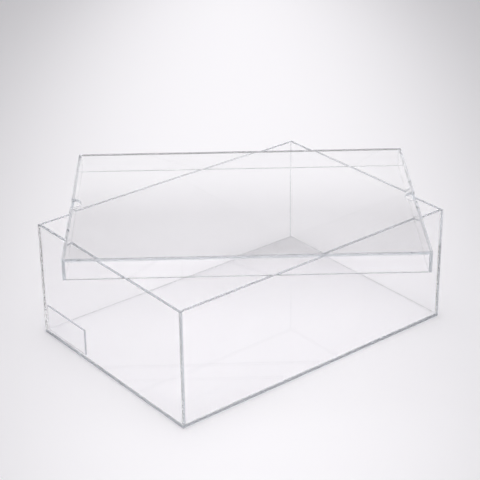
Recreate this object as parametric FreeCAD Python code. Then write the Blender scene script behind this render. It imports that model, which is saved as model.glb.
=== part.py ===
"""Clear acrylic shoe box with a slip-over lid, one STEP file for each cemented sheet.

Frame: millimetres, +Z up. The origin is the centre of the base's underside, +X runs along the box
and +Y from the front wall to the back wall. The lid lies askew on the walls' top edges.
"""

import FreeCAD, Part
import os
from FreeCAD import Placement, Rotation, Vector

# ---------------------------------------------------------------- driving dimensions
BOX_LENGTH = 340.0          # outside, along X
BOX_WIDTH = 240.0           # outside, along Y
BOX_HEIGHT = 125.0          # outside, base included

BASE_SHEET = 3.0            # thickness of the base
WALL_SHEET = 3.0            # thickness of the four walls
LID_SHEET = 3.0             # thickness of the lid's top plate
RIM_SHEET = 3.0             # thickness of the lid's four rims

LID_CLEARANCE = 2.0         # gap between a wall and the rim beside it, on a closed box
RIM_DEPTH = 19.0            # how far the rims reach down from the top plate
NOTCH_RADIUS = 10.5         # half-round finger notches in the lid's short edges

LABEL_SHEET = 2.0           # thickness of the plate that holds the size card
LABEL_WIDTH = 69.0          # along Y
LABEL_HEIGHT = 28.5
CARD_GAP = 1.0              # slot for the card, between the plate and the end wall

LID_TURN = -37.35           # degrees about +Z, from the closed box's direction
LID_OFFSET_X = -2.1         # centre of the lid from the centre of the box
LID_OFFSET_Y = -5.7

# ---------------------------------------------------------------- worked-out sizes
HALF_LENGTH = BOX_LENGTH / 2
HALF_WIDTH = BOX_WIDTH / 2
INNER_HALF_LENGTH = HALF_LENGTH - WALL_SHEET
INNER_HALF_WIDTH = HALF_WIDTH - WALL_SHEET

LID_HALF_LENGTH = HALF_LENGTH + LID_CLEARANCE + RIM_SHEET
LID_HALF_WIDTH = HALF_WIDTH + LID_CLEARANCE + RIM_SHEET
LID_INNER_HALF_LENGTH = LID_HALF_LENGTH - RIM_SHEET
LID_INNER_HALF_WIDTH = LID_HALF_WIDTH - RIM_SHEET


def sheet(low, high):
    """A flat rectangular piece of sheet between two opposite corners."""
    size = Vector(*high) - Vector(*low)
    return Part.makeBox(size.x, size.y, size.z, Vector(*low))


def base_panel():
    return sheet((-HALF_LENGTH, -HALF_WIDTH, 0), (HALF_LENGTH, HALF_WIDTH, BASE_SHEET))


def end_wall(side):
    """A short wall on the base, as wide as the box; side is -1 on the left and 1 on the right."""
    near, far = sorted((side * INNER_HALF_LENGTH, side * HALF_LENGTH))
    return sheet((near, -HALF_WIDTH, BASE_SHEET), (far, HALF_WIDTH, BOX_HEIGHT))


def long_wall(side):
    """A long wall on the base, between the end walls; side is -1 in front and 1 at the back."""
    near, far = sorted((side * INNER_HALF_WIDTH, side * HALF_WIDTH))
    return sheet(
        (-INNER_HALF_LENGTH, near, BASE_SHEET), (INNER_HALF_LENGTH, far, BOX_HEIGHT)
    )


def label_plate():
    """A plate that stands on the base against the back wall, a card's gap from the left wall."""
    outer_face = -INNER_HALF_LENGTH + CARD_GAP
    return sheet(
        (outer_face, INNER_HALF_WIDTH - LABEL_WIDTH, BASE_SHEET),
        (outer_face + LABEL_SHEET, INNER_HALF_WIDTH, BASE_SHEET + LABEL_HEIGHT),
    )


# The lid is made square to its own axes, with its rims' lower edges at z = 0.
def lid_top_plate():
    """The lid's top sheet, with a half-round notch in the middle of each short edge."""
    plate = sheet(
        (-LID_HALF_LENGTH, -LID_HALF_WIDTH, RIM_DEPTH),
        (LID_HALF_LENGTH, LID_HALF_WIDTH, RIM_DEPTH + LID_SHEET),
    )
    for side in (-1, 1):
        notch_centre = Vector(side * LID_HALF_LENGTH, 0, RIM_DEPTH)
        plate = plate.cut(Part.makeCylinder(NOTCH_RADIUS, LID_SHEET, notch_centre))
    return plate.Solids[0]


def lid_end_rim(side):
    """A short rim, as wide as the lid; side is -1 on the left and 1 on the right."""
    near, far = sorted((side * LID_INNER_HALF_LENGTH, side * LID_HALF_LENGTH))
    return sheet((near, -LID_HALF_WIDTH, 0), (far, LID_HALF_WIDTH, RIM_DEPTH))


def lid_long_rim(side):
    """A long rim, between the short ones; side is -1 in front and 1 at the back."""
    near, far = sorted((side * LID_INNER_HALF_WIDTH, side * LID_HALF_WIDTH))
    return sheet((-LID_INNER_HALF_LENGTH, near, 0), (LID_INNER_HALF_LENGTH, far, RIM_DEPTH))


def laid_askew(piece):
    """Turn a piece of the lid and lay it on the walls' top edges."""
    turn = Rotation(Vector(0, 0, 1), LID_TURN)
    place = Placement(Vector(LID_OFFSET_X, LID_OFFSET_Y, BOX_HEIGHT), turn)
    return piece.transformed(place.toMatrix(), True)


box_pieces = {
    "base_panel": base_panel(),
    "front_wall": long_wall(-1),
    "back_wall": long_wall(1),
    "left_end_wall": end_wall(-1),
    "right_end_wall": end_wall(1),
    "label_plate": label_plate(),
}

lid_pieces = {
    "lid_top_plate": lid_top_plate(),
    "lid_front_rim": lid_long_rim(-1),
    "lid_back_rim": lid_long_rim(1),
    "lid_left_rim": lid_end_rim(-1),
    "lid_right_rim": lid_end_rim(1),
}

os.makedirs("parts", exist_ok=True)
nodes = dict(box_pieces)
nodes.update({name: laid_askew(piece) for name, piece in lid_pieces.items()})
for name, shape in nodes.items():
    if not shape.isValid() or len(shape.Solids) != 1:
        raise ValueError(f"{name} is not one valid solid")
    shape.exportStep(f"parts/{name}.step")
    print(f"{name}: {shape.Volume / 1000:.1f} cm3")
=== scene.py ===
"""Looks of the clear acrylic shoe box: polished sheets, cut edges and cemented joints."""

import math

import bmesh
import bpy
from mathutils import Matrix, Vector


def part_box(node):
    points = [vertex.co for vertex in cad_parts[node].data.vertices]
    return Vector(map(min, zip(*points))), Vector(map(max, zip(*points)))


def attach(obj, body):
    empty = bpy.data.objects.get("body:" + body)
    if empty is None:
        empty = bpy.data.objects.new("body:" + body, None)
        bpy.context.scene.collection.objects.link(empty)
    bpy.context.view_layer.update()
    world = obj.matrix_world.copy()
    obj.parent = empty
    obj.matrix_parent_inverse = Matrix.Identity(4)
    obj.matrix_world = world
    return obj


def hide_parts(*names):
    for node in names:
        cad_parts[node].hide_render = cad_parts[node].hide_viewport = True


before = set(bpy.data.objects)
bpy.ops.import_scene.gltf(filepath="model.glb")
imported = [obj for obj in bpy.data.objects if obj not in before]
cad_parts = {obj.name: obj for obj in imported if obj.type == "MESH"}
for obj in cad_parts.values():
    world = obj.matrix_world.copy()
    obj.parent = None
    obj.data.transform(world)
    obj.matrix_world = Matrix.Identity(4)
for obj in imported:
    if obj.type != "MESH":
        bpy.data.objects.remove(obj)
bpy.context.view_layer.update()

# ------------------------------------------------------------------ base panel
# The floor of the box is one rectangle of clear cast acrylic, cut to the box's full outline. Its
# rim is diamond-polished, and the four walls are cemented to its upper face.

EDGE_ROUND = 0.0003         # radius that polishing leaves on a free edge
ROUND_STEPS = 3
SEAM_GROOVE = 0.00006       # the fine line where two flush sheets meet
JOINT = 0.00002             # thickness of the film of cement between two sheets
TOUCH = 0.00004             # places closer together than this count as the same
ACRYLIC_IOR = 1.49
FACE_COLOUR = (0.998, 0.997, 1.0, 1)
BASE_EDGE_TINT_AND_SHADE = (0.3, 0.33, 0.37, 1)     # darkest: the sheet's tint with the most painted shade, for the shade along the floor

bpy.ops.object.select_all(action="DESELECT")


def shader(material_name, ior):
    """A new node material with a clear, colourless Principled shader."""
    material = bpy.data.materials.new(material_name)
    material.use_nodes = True
    principled = material.node_tree.nodes["Principled BSDF"]
    principled.inputs["Transmission Weight"].default_value = 1.0
    principled.inputs["IOR"].default_value = ior
    principled.inputs["Roughness"].default_value = 0.0
    return material, material.node_tree, principled


def place_pattern(tree, turn, stretch=(1, 1, 1)):
    """Object coordinates, turned with the piece about Z and stretched along its own axes."""
    coordinates = tree.nodes.new("ShaderNodeTexCoord")
    mapping = tree.nodes.new("ShaderNodeMapping")
    mapping.vector_type = "TEXTURE"
    mapping.inputs["Rotation"].default_value = (0, 0, turn)
    mapping.inputs["Scale"].default_value = stretch
    tree.links.new(coordinates.outputs["Object"], mapping.inputs["Vector"])
    return mapping.outputs["Vector"]


def noise(tree, vector, scale, detail=2.0, roughness=0.5):
    """A soft random pattern between 0 and 1, with scale patches in a metre."""
    texture = tree.nodes.new("ShaderNodeTexNoise")
    texture.inputs["Scale"].default_value = scale
    texture.inputs["Detail"].default_value = detail
    texture.inputs["Roughness"].default_value = roughness
    tree.links.new(vector, texture.inputs["Vector"])
    return texture.outputs["Fac"]


def spread(tree, value, low, high, out_low, out_high):
    """value from low to high becomes out_low to out_high, and stops there."""
    node = tree.nodes.new("ShaderNodeMapRange")
    node.inputs["From Min"].default_value = low
    node.inputs["From Max"].default_value = high
    node.inputs["To Min"].default_value = out_low
    node.inputs["To Max"].default_value = out_high
    tree.links.new(value, node.inputs["Value"])
    return node.outputs["Result"]


def bump(tree, height, depth):
    """Turns a pattern into small hills of the given depth in metres."""
    node = tree.nodes.new("ShaderNodeBump")
    node.inputs["Distance"].default_value = depth
    tree.links.new(height, node.inputs["Height"])
    return node.outputs["Normal"]


def larger(tree, first, second):
    """The larger of two patterns at each place."""
    node = tree.nodes.new("ShaderNodeMath")
    node.operation = "MAXIMUM"
    tree.links.new(first, node.inputs[0])
    tree.links.new(second, node.inputs[1])
    return node.outputs["Value"]


CAST_WAVES = 9.0            # how many waves of the cast surface go in a metre
CAST_DEPTH = 0.00002
SMUDGE_PATCHES = 14.0       # in a metre
SMUDGE_START, SMUDGE_FULL = 0.52, 0.74      # values of the pattern, which lie between 0 and 1
SMUDGE_ROUGHNESS = 0.02
WIPE_ANGLE = 0.6            # radians, the way a cloth went across a face
SCRATCH_SIZE = (0.03, 0.0004, 0.03)         # spacing of the scratches along and across the wipe
SCRATCH_START, SCRATCH_FULL = 0.7, 0.74
SCRATCH_ROUGHNESS = 0.06


def polished_face(name, turn):
    """The sheet's own cast surface: very clear and faintly wavy, with smudges where hands have held
    it and hairline scratches from wiping."""
    material, tree, principled = shader(name, ACRYLIC_IOR)
    principled.inputs["Base Color"].default_value = FACE_COLOUR
    place = place_pattern(tree, turn)
    cast_wave = noise(tree, place, CAST_WAVES, detail=0.0)
    tree.links.new(bump(tree, cast_wave, CAST_DEPTH), principled.inputs["Normal"])
    patches = noise(tree, place, SMUDGE_PATCHES, detail=4.0, roughness=0.6)
    smudges = spread(tree, patches, SMUDGE_START, SMUDGE_FULL, 0.0, SMUDGE_ROUGHNESS)
    along_wipe = place_pattern(tree, turn + WIPE_ANGLE, SCRATCH_SIZE)
    hairlines = noise(tree, along_wipe, scale=1.0, detail=1.0)
    scratches = spread(tree, hairlines, SCRATCH_START, SCRATCH_FULL, 0.0, SCRATCH_ROUGHNESS)
    tree.links.new(larger(tree, smudges, scratches), principled.inputs["Roughness"])
    return material


EDGE_CLEARNESS = 0.75       # the rest of a cut edge is frosted
CUT_LINES = 900.0           # in a metre
LINE_START, LINE_FULL = 0.3, 0.7
CUT_SMOOTHEST, CUT_ROUGHEST = 0.08, 0.14


def cut_edge(name, colour, inner_colour, turn):
    """A sawn and polished edge: finely lined across the cut and part frosted. Seen from outside its
    colour is partly the blue-grey that light takes on running a long way through the sheet, and
    partly painted shade that darkens the edge. Light that comes to it from inside the sheet has
    mostly crossed only its thickness, and leaves less coloured."""
    material, tree, principled = shader(name, ACRYLIC_IOR)
    # Seen from outside the edge takes colour, the sheet's tint with painted shade; seen from inside,
    # inner_colour.
    side = tree.nodes.new("ShaderNodeNewGeometry")
    tint = tree.nodes.new("ShaderNodeValToRGB")
    tint.color_ramp.elements[0].color = colour
    tint.color_ramp.elements[1].color = inner_colour
    tree.links.new(side.outputs["Backfacing"], tint.inputs["Fac"])
    tree.links.new(tint.outputs["Color"], principled.inputs["Base Color"])
    principled.inputs["Transmission Weight"].default_value = EDGE_CLEARNESS
    lines = noise(tree, place_pattern(tree, turn), CUT_LINES, detail=1.0)
    roughness = spread(tree, lines, LINE_START, LINE_FULL, CUT_SMOOTHEST, CUT_ROUGHEST)
    tree.links.new(roughness, principled.inputs["Roughness"])
    return material


CEMENT_BUBBLES = 1400.0     # in a metre
BUBBLE_START, BUBBLE_FULL = 0.58, 0.75
CEMENT_TINT, BUBBLE_TINT = 0.99, 0.8    # share of the light that gets through


def cement_film(name, turn):
    """Solvent cement between two sheets, nearly as clear as they are but for small bubbles. Light
    crosses it without bending, so its own faces have no refraction."""
    material, tree, principled = shader(name, 1.0)
    bubbles = noise(tree, place_pattern(tree, turn), CEMENT_BUBBLES)
    tint = spread(tree, bubbles, BUBBLE_START, BUBBLE_FULL, CEMENT_TINT, BUBBLE_TINT)
    tree.links.new(tint, principled.inputs["Base Color"])
    return material


def finishes(prefix, edge_tint_and_shade, inner_colour=FACE_COLOUR, turn=0.0):
    """The three finishes of a sheet, in the order that FACE, CUT and CEMENT give. The edge colour is
    a cut edge seen from outside, the sheet's tint with painted shade; inner_colour tints what leaves
    through a cut edge from inside, and turn is the sheet's own, about Z."""
    return [
        polished_face(prefix + "_polished_face", turn),
        cut_edge(prefix + "_cut_edge", edge_tint_and_shade, inner_colour, turn),
        cement_film(prefix + "_cement_film", turn),
    ]


FACE, CUT, CEMENT, PAINTED_SHADE_EDGE = 0, 1, 2, 3    # places of the finishes in a sheet's list
BROAD = 0.999               # a broad face's normal lies along the sheet's thickness


def sheet_blank(name, low, high):
    """A rectangle of sheet between two opposite corners."""
    bpy.ops.object.select_all(action="DESELECT")
    bpy.ops.mesh.primitive_cube_add(size=1, location=(low + high) / 2, scale=high - low)
    blank = bpy.context.object
    blank.name = blank.data.name = name
    bpy.ops.object.transform_apply(location=True, rotation=True, scale=True)
    return blank


def bevel_where(sheet, wanted, width, steps=1):
    """Bevels the edges whose middle and direction wanted accepts."""
    bpy.ops.object.mode_set(mode="EDIT")
    bpy.ops.mesh.select_mode(type="EDGE")
    bpy.ops.mesh.select_all(action="DESELECT")
    mesh = bmesh.from_edit_mesh(sheet.data)
    for edge in mesh.edges:
        start, end = (vertex.co for vertex in edge.verts)
        edge.select_set(wanted((start + end) / 2, (end - start).normalized()))
    mesh.select_flush_mode()
    bmesh.update_edit_mesh(sheet.data)
    bpy.ops.mesh.bevel(offset=width, segments=steps, affect="EDGES")
    bpy.ops.object.mode_set(mode="OBJECT")


def score(sheet, axis, place):
    """Splits the faces that a plane square to axis crosses, so that a joint has its own outline."""
    normal = [0, 0, 0]
    normal[axis] = 1
    point = [0, 0, 0]
    point[axis] = place
    bpy.ops.object.mode_set(mode="EDIT")
    bpy.ops.mesh.select_all(action="SELECT")
    bpy.ops.mesh.bisect(plane_co=point, plane_no=normal)
    bpy.ops.object.mode_set(mode="OBJECT")


def on(place, value):
    """True if two places are the same, as near as the sheets are made."""
    return abs(place - value) < TOUCH


def runs_along(part):
    """True if part, one coordinate of an edge's direction, is the greater share of it."""
    return abs(part) > 0.5


def finish_sheet(sheet, low, high, neighbours, materials):
    """Gives the faces, cut edges and cemented joints of a sheet their finishes.
    neighbours are the boxes, as two corners, of the sheets that are cemented to this one."""
    for near, far in neighbours:
        for axis in range(3):
            for place in (near[axis], far[axis]):
                if low[axis] + EDGE_ROUND < place < high[axis] - EDGE_ROUND:
                    score(sheet, axis, place)
    for material in materials:
        sheet.data.materials.append(material)
    size = high - low
    thin = min(range(3), key=lambda axis: size[axis])
    for face in sheet.data.polygons:
        face.material_index = FACE if abs(face.normal[thin]) > BROAD else CUT
        for near, far in neighbours:
            if all(near[a] - TOUCH < face.center[a] < far[a] + TOUCH for a in range(3)):
                face.material_index = CEMENT


base_low, base_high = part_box("base_panel")
wall_nodes = ("front_wall", "back_wall", "left_end_wall", "right_end_wall")
wall_boxes = {node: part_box(node) for node in wall_nodes}
label_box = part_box("label_plate")


def base_free_edge(middle, along):
    return middle.z < base_high.z - TOUCH


def base_seam_edge(middle, along):
    return on(middle.z, base_high.z)


base = sheet_blank("base_sheet", base_low, base_high)
bevel_where(base, base_free_edge, EDGE_ROUND, ROUND_STEPS)
bevel_where(base, base_seam_edge, SEAM_GROOVE)
base_joints = [*wall_boxes.values(), label_box]
finish_sheet(base, base_low, base_high, base_joints, finishes("base", BASE_EDGE_TINT_AND_SHADE))
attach(base, "box")
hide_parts("base_panel")

# ------------------------------------------------------------------ end walls
# The two short walls are as wide as the box. They stand on the base, cemented along their lower
# edge, and the ends of the long walls butt against them.

# The walls' cut edges, seen from outside, are the sheet's blue-grey tint with painted shade.
WALL_EDGE_TINT_AND_SHADE = (0.6, 0.63, 0.67, 1)
WALL_INNER_COLOUR = (0.84, 0.86, 0.88, 1)

wall_finishes = finishes("wall", WALL_EDGE_TINT_AND_SHADE, WALL_INNER_COLOUR)

for node in ("left_end_wall", "right_end_wall"):
    low, high = wall_boxes[node]
    outer_x = low.x if low.x < 0 else high.x
    inner_x = low.x + high.x - outer_x
    wall = sheet_blank(node.replace("_wall", "_sheet"), low + Vector((0, 0, JOINT)), high)

    def free_edge(middle, along):
        upper = on(middle.z, high.z)
        outer_corner = on(middle.x, outer_x) and runs_along(along.z)
        return upper or outer_corner

    def seam_edge(middle, along):
        lower_outside = middle.z < low.z + TOUCH and not on(middle.x, inner_x)
        inner_corner = on(middle.x, inner_x) and runs_along(along.z)
        return lower_outside or inner_corner

    bevel_where(wall, free_edge, EDGE_ROUND, ROUND_STEPS)
    bevel_where(wall, seam_edge, SEAM_GROOVE)
    joints = [(base_low, base_high), wall_boxes["front_wall"], wall_boxes["back_wall"]]
    finish_sheet(wall, low, high, joints, wall_finishes)
    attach(wall, "box")
    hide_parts(node)

# ------------------------------------------------------------------ long walls
# The front and back walls stand on the base between the end walls, cemented on three sides. Only
# their upper edge is free.

for node in ("front_wall", "back_wall"):
    low, high = wall_boxes[node]
    outer_y = low.y if low.y < 0 else high.y
    wall = sheet_blank(
        node.replace("_wall", "_sheet"), low + Vector((JOINT, 0, JOINT)), high - Vector((JOINT, 0, 0))
    )

    def free_edge(middle, along):
        return on(middle.z, high.z) and runs_along(along.x)

    def seam_edge(middle, along):
        return on(middle.y, outer_y) and middle.z < high.z - EDGE_ROUND - TOUCH

    bevel_where(wall, free_edge, EDGE_ROUND, ROUND_STEPS)
    bevel_where(wall, seam_edge, SEAM_GROOVE)
    joints = [(base_low, base_high), wall_boxes["left_end_wall"], wall_boxes["right_end_wall"]]
    if node == "back_wall":
        joints.append(label_box)
    finish_sheet(wall, low, high, joints, wall_finishes)
    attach(wall, "box")
    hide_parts(node)

# ------------------------------------------------------------------ label plate
# A small plate of thinner acrylic stands inside the left end wall, a card's thickness away from it.
# It is cemented along its foot and along its end at the back wall, and takes a size card behind it.

# The label plate's cut edges, seen from outside, are the sheet's blue-grey tint with painted shade.
LABEL_EDGE_TINT_AND_SHADE = (0.42, 0.43, 0.52, 1)
LABEL_INNER_COLOUR = (0.72, 0.73, 0.8, 1)

low, high = label_box


def label_free_edge(middle, along):
    return on(middle.z, high.z) or on(middle.y, low.y)


label_plate = sheet_blank("label_sheet", low + Vector((0, 0, JOINT)), high - Vector((0, JOINT, 0)))
bevel_where(label_plate, label_free_edge, EDGE_ROUND, ROUND_STEPS)
label_joints = [(base_low, base_high), wall_boxes["back_wall"]]
label_finishes = finishes("label", LABEL_EDGE_TINT_AND_SHADE, LABEL_INNER_COLOUR)
finish_sheet(label_plate, low, high, label_joints, label_finishes)
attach(label_plate, "box")
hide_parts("label_plate")

# ------------------------------------------------------------------ lid top plate
# The lid is a second shallow box of the same sheet, upside down and a little larger. Its top plate
# covers the rims, and a half-round finger notch is cut into the middle of each short edge.

NOTCH_RADIUS = 0.0105
NOTCH_STEPS = 96
REST_GAP = 0.00002          # the loose lid touches the walls only here and there
LID_EDGE_TINT_AND_SHADE = (0.78, 0.81, 0.85, 1)     # the sheet's tint with less painted shade than the box's edges, so brighter
LID_INNER_COLOUR = (0.78, 0.8, 0.83, 1)


def centre_of(node):
    low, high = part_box(node)
    return (low + high) / 2


lid_low_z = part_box("lid_front_rim")[0].z + REST_GAP
lid_high_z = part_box("lid_top_plate")[1].z
plate_low_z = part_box("lid_top_plate")[0].z
rim_sheet = wall_boxes["front_wall"][1].y - wall_boxes["front_wall"][0].y
lid_along = centre_of("lid_right_rim") - centre_of("lid_left_rim")
lid_across = centre_of("lid_back_rim") - centre_of("lid_front_rim")
lid_turn = math.atan2(lid_along.y, lid_along.x)
half_length = (lid_along.length + rim_sheet) / 2
half_width = (lid_across.length + rim_sheet) / 2
lid_centre = centre_of("lid_top_plate")
lid_place = Matrix.Translation((lid_centre.x, lid_centre.y, 0)) @ Matrix.Rotation(lid_turn, 4, "Z")
lid_finishes = finishes("lid", LID_EDGE_TINT_AND_SHADE, LID_INNER_COLOUR, lid_turn)

# The lid's sheets are made square to the axes about the origin, and turned into place when finished.
plate_low = Vector((-half_length, -half_width, plate_low_z))
plate_high = Vector((half_length, half_width, lid_high_z))
end_rims = {
    "lid_left_rim": (
        Vector((-half_length, -half_width, lid_low_z)),
        Vector((-half_length + rim_sheet, half_width, plate_low_z)),
    ),
    "lid_right_rim": (
        Vector((half_length - rim_sheet, -half_width, lid_low_z)),
        Vector((half_length, half_width, plate_low_z)),
    ),
}
long_rims = {
    "lid_front_rim": (
        Vector((-half_length + rim_sheet, -half_width, lid_low_z)),
        Vector((half_length - rim_sheet, -half_width + rim_sheet, plate_low_z)),
    ),
    "lid_back_rim": (
        Vector((-half_length + rim_sheet, half_width - rim_sheet, lid_low_z)),
        Vector((half_length - rim_sheet, half_width, plate_low_z)),
    ),
}


def lay_on_box(piece, node):
    """Turns a finished sheet of the lid into place and ties it to the lid."""
    bpy.ops.object.select_all(action="DESELECT")
    bpy.context.view_layer.objects.active = piece
    piece.select_set(True)
    piece.matrix_world = lid_place
    bpy.ops.object.transform_apply(location=True, rotation=True, scale=True)
    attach(piece, "lid")
    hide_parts(node)


plate = sheet_blank("lid_top_sheet", plate_low, plate_high)
cutter_height = 4 * rim_sheet       # reaches out of the plate above and below
for side in (-1, 1):
    bpy.ops.mesh.primitive_cylinder_add(
        vertices=NOTCH_STEPS,
        radius=NOTCH_RADIUS,
        depth=cutter_height,
        location=(side * half_length, 0, plate_high.z),
    )
    cutter = bpy.context.object
    bpy.ops.object.select_all(action="DESELECT")
    bpy.context.view_layer.objects.active = plate
    plate.select_set(True)
    notch = plate.modifiers.new("notch", "BOOLEAN")
    notch.object = cutter
    notch.solver = "EXACT"
    bpy.ops.object.modifier_apply(modifier="notch")
    bpy.data.objects.remove(cutter)


def plate_free_edge(middle, along):
    upper = on(middle.z, plate_high.z)
    corner = runs_along(along.z) and on(abs(middle.y), half_width)
    in_notch = abs(middle.y) < NOTCH_RADIUS + TOUCH and not runs_along(along.z)
    return upper or corner or in_notch


def plate_seam_edge(middle, along):
    return on(middle.z, plate_low.z) and abs(middle.y) > NOTCH_RADIUS


bevel_where(plate, plate_free_edge, EDGE_ROUND, ROUND_STEPS)
bevel_where(plate, plate_seam_edge, SEAM_GROOVE)
rim_joints = [*long_rims.values()]
for low, high in end_rims.values():
    rim_joints.append((low, Vector((high.x, -NOTCH_RADIUS, high.z))))
    rim_joints.append((Vector((low.x, NOTCH_RADIUS, low.z)), high))
finish_sheet(plate, plate_low, plate_high, rim_joints, lid_finishes)
lay_on_box(plate, "lid_top_plate")

# ------------------------------------------------------------------ lid rims
# Four strips of sheet hang from the top plate and fit round the walls when the box is closed. The
# short ones are as wide as the lid. The long ones are cemented between them, and their lower edges
# are dull and dark grey: painted shade and reflection along the lid's lower edge.

# Dark grey of the long rims' lower edges: painted shade and reflection along the lid's lower edge.
LOWER_EDGE_PAINTED_SHADE = (0.32, 0.32, 0.33, 1)
LOWER_EDGE_CLEARNESS = 0.4        # the rest scatters diffusely in the dark grey of the painted shade

plate_beside_notch = [
    (plate_low, Vector((plate_high.x, -NOTCH_RADIUS, plate_high.z))),
    (Vector((plate_low.x, NOTCH_RADIUS, plate_low.z)), plate_high),
]
for node, (low, high) in end_rims.items():
    outer_x = low.x if low.x < 0 else high.x
    inner_x = low.x + high.x - outer_x
    rim = sheet_blank(node.replace("_rim", "_strip"), low, high - Vector((0, 0, JOINT)))

    def free_edge(middle, along):
        return on(middle.z, low.z) or (on(middle.x, outer_x) and runs_along(along.z))

    def seam_edge(middle, along):
        inner_corner = not on(middle.x, outer_x) and runs_along(along.z)
        upper_outside = on(middle.z, high.z) and not on(middle.x, inner_x)
        return inner_corner or upper_outside

    bevel_where(rim, free_edge, EDGE_ROUND, ROUND_STEPS)
    bevel_where(rim, seam_edge, SEAM_GROOVE)
    finish_sheet(rim, low, high, [*long_rims.values(), *plate_beside_notch], lid_finishes)
    lay_on_box(rim, node)

# The long rims' lower edges: dark grey and part diffuse, painted shade and reflection along the lid's
# lower edge.
painted_shade_edge = cut_edge("lid_lower_edge_painted_shade", LOWER_EDGE_PAINTED_SHADE, LOWER_EDGE_PAINTED_SHADE, lid_turn)
painted_shade_edge_shader = painted_shade_edge.node_tree.nodes["Principled BSDF"]
painted_shade_edge_shader.inputs["Transmission Weight"].default_value = LOWER_EDGE_CLEARNESS

for node, (low, high) in long_rims.items():
    outer_y = low.y if low.y < 0 else high.y
    rim = sheet_blank(
        node.replace("_rim", "_strip"), low + Vector((JOINT, 0, 0)), high - Vector((JOINT, 0, JOINT))
    )

    def free_edge(middle, along):
        return on(middle.z, low.z) and runs_along(along.x)

    def seam_edge(middle, along):
        return on(middle.y, outer_y) and middle.z > low.z + EDGE_ROUND + TOUCH

    bevel_where(rim, free_edge, EDGE_ROUND, ROUND_STEPS)
    bevel_where(rim, seam_edge, SEAM_GROOVE)
    joints = [*end_rims.values(), (plate_low, plate_high)]
    finish_sheet(rim, low, high, joints, [*lid_finishes, painted_shade_edge])
    # The lower faces take the dark grey painted shade finish.
    for face in rim.data.polygons:
        if on(face.center.z, low.z):
            face.material_index = PAINTED_SHADE_EDGE
    lay_on_box(rim, node)

# ------------------------------------------------------------------ studio
# The box stands on a wide pale board, under a long oval soft light that hangs low and runs away from
# the camera. The room round it is pale, with a narrow dark band part way up for the lid to mirror.

FLOOR_GAP = 0.0003          # the box touches the floor only here and there
FLOOR_RADIUS = 9.0
FLOOR_STEPS = 96
BOARD_COLOUR = (0.905, 0.888, 0.912, 1)
BOARD_ROUGHNESS = 0.8
BOARD_GLOSS = 0.2

bpy.ops.object.select_all(action="DESELECT")
bpy.ops.mesh.primitive_circle_add(
    vertices=FLOOR_STEPS,
    radius=FLOOR_RADIUS,
    fill_type="NGON",
    location=(0, 0, base_low.z - FLOOR_GAP),
)
floor = bpy.context.object
floor.name = floor.data.name = "studio_floor"
bpy.ops.object.transform_apply(location=True, rotation=True, scale=True)
board = bpy.data.materials.new("pale_board")
board.use_nodes = True
board_shader = board.node_tree.nodes["Principled BSDF"]
board_shader.inputs["Base Color"].default_value = BOARD_COLOUR
board_shader.inputs["Roughness"].default_value = BOARD_ROUGHNESS
board_shader.inputs["Specular IOR Level"].default_value = BOARD_GLOSS
floor.data.materials.append(board)

LIGHT_TURN = math.radians(-38.6)    # the light runs away from the camera, over the box
LIGHT_WIDTH = 0.62
LIGHT_LENGTH = 2.5
LIGHT_SPREAD = math.radians(70)
LIGHT_POWER = 1.9           # watts
LIGHT_HEIGHT = 0.45
LIGHT_BEYOND = 0.32         # how far its middle lies beyond the box's

soft_light = bpy.data.lights.new("strip_light", "AREA")
soft_light.shape = "ELLIPSE"
soft_light.size = LIGHT_WIDTH
soft_light.size_y = LIGHT_LENGTH
soft_light.spread = LIGHT_SPREAD
soft_light.energy = LIGHT_POWER
lamp = bpy.data.objects.new("strip_light", soft_light)
bpy.context.scene.collection.objects.link(lamp)
light_along = Vector((-math.sin(LIGHT_TURN), math.cos(LIGHT_TURN), 0))
lamp.location = light_along * LIGHT_BEYOND + Vector((0, 0, LIGHT_HEIGHT))
lamp.rotation_euler = (0, 0, LIGHT_TURN)
lamp.visible_camera = False
lamp.visible_glossy = False

HORIZON_COLOUR = (0.55, 0.545, 0.556, 1)
OVERHEAD_COLOUR = (0.62, 0.62, 0.63, 1)
BLUE_SHARE = 1.01           # the grey of the room is very slightly blue
ROOM_TONES = (              # sine of the height above the horizon, and how bright the room is there
    (0.2, 0.84),
    (0.408, 0.84),
    (0.43, 0.2),
    (0.455, 0.2),
    (0.49, 0.8),
    (0.62, 0.8),
    (0.68, 0.25),
    (0.8, 0.25),
    (0.88, 0.62),
)

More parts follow.
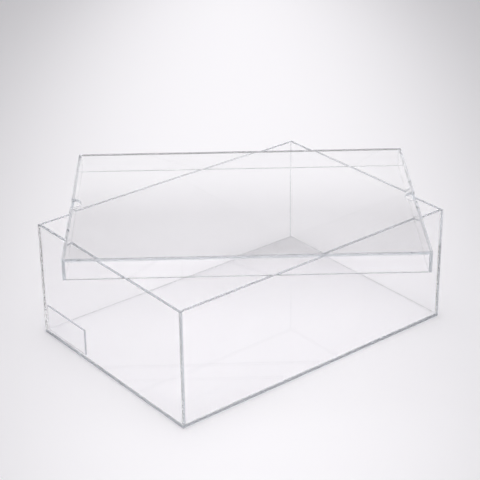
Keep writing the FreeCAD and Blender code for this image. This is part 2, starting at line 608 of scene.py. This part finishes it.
world = bpy.data.worlds.new("studio_air")
bpy.context.scene.world = world
world.use_nodes = True
sky = world.node_tree
direction = sky.nodes.new("ShaderNodeTexCoord")
split = sky.nodes.new("ShaderNodeSeparateXYZ")
ramp = sky.nodes.new("ShaderNodeValToRGB")
sky.links.new(direction.outputs["Generated"], split.inputs[0])
sky.links.new(split.outputs["Z"], ramp.inputs["Fac"])
ramp.color_ramp.elements[0].position = 0.0
ramp.color_ramp.elements[0].color = HORIZON_COLOUR
ramp.color_ramp.elements[1].position = 1.0
ramp.color_ramp.elements[1].color = OVERHEAD_COLOUR
for height, tone in ROOM_TONES:
    stop = ramp.color_ramp.elements.new(height)
    stop.color = (tone, tone, tone * BLUE_SHARE, 1)
sky.links.new(ramp.outputs["Color"], sky.nodes["Background"].inputs["Color"])

BOUNCES = 160               # light goes to and fro many times inside a sheet before it leaves an edge
FILTER_WIDTH = 1.6

scene = bpy.context.scene
scene.view_settings.view_transform = "Standard"
scene.cycles.blur_glossy = 0.0
scene.cycles.filter_width = FILTER_WIDTH
scene.cycles.max_bounces = BOUNCES
scene.cycles.glossy_bounces = BOUNCES
scene.cycles.transmission_bounces = BOUNCES

# ------------------------------------------------------------------ camera
# A long lens looks down on the corner between the front wall and the left end wall.

CAMERA_PLACE = (-0.8864, -1.1052, 0.8034)
CAMERA_YAW, CAMERA_PITCH, CAMERA_ROLL = 38.64, 26.45, -0.63     # degrees
CAMERA_LENS = 115.1         # mm
CAMERA_SENSOR = 36          # mm

camera = bpy.data.objects.new("camera", bpy.data.cameras.new("camera"))
scene.collection.objects.link(camera)
scene.camera = camera
camera.data.lens = CAMERA_LENS
camera.data.sensor_width = CAMERA_SENSOR
aim = Matrix.Rotation(math.radians(-CAMERA_YAW), 4, "Z")
aim @= Matrix.Rotation(math.radians(90 - CAMERA_PITCH), 4, "X")
aim @= Matrix.Rotation(math.radians(CAMERA_ROLL), 4, "Z")
camera.matrix_world = Matrix.Translation(CAMERA_PLACE) @ aim
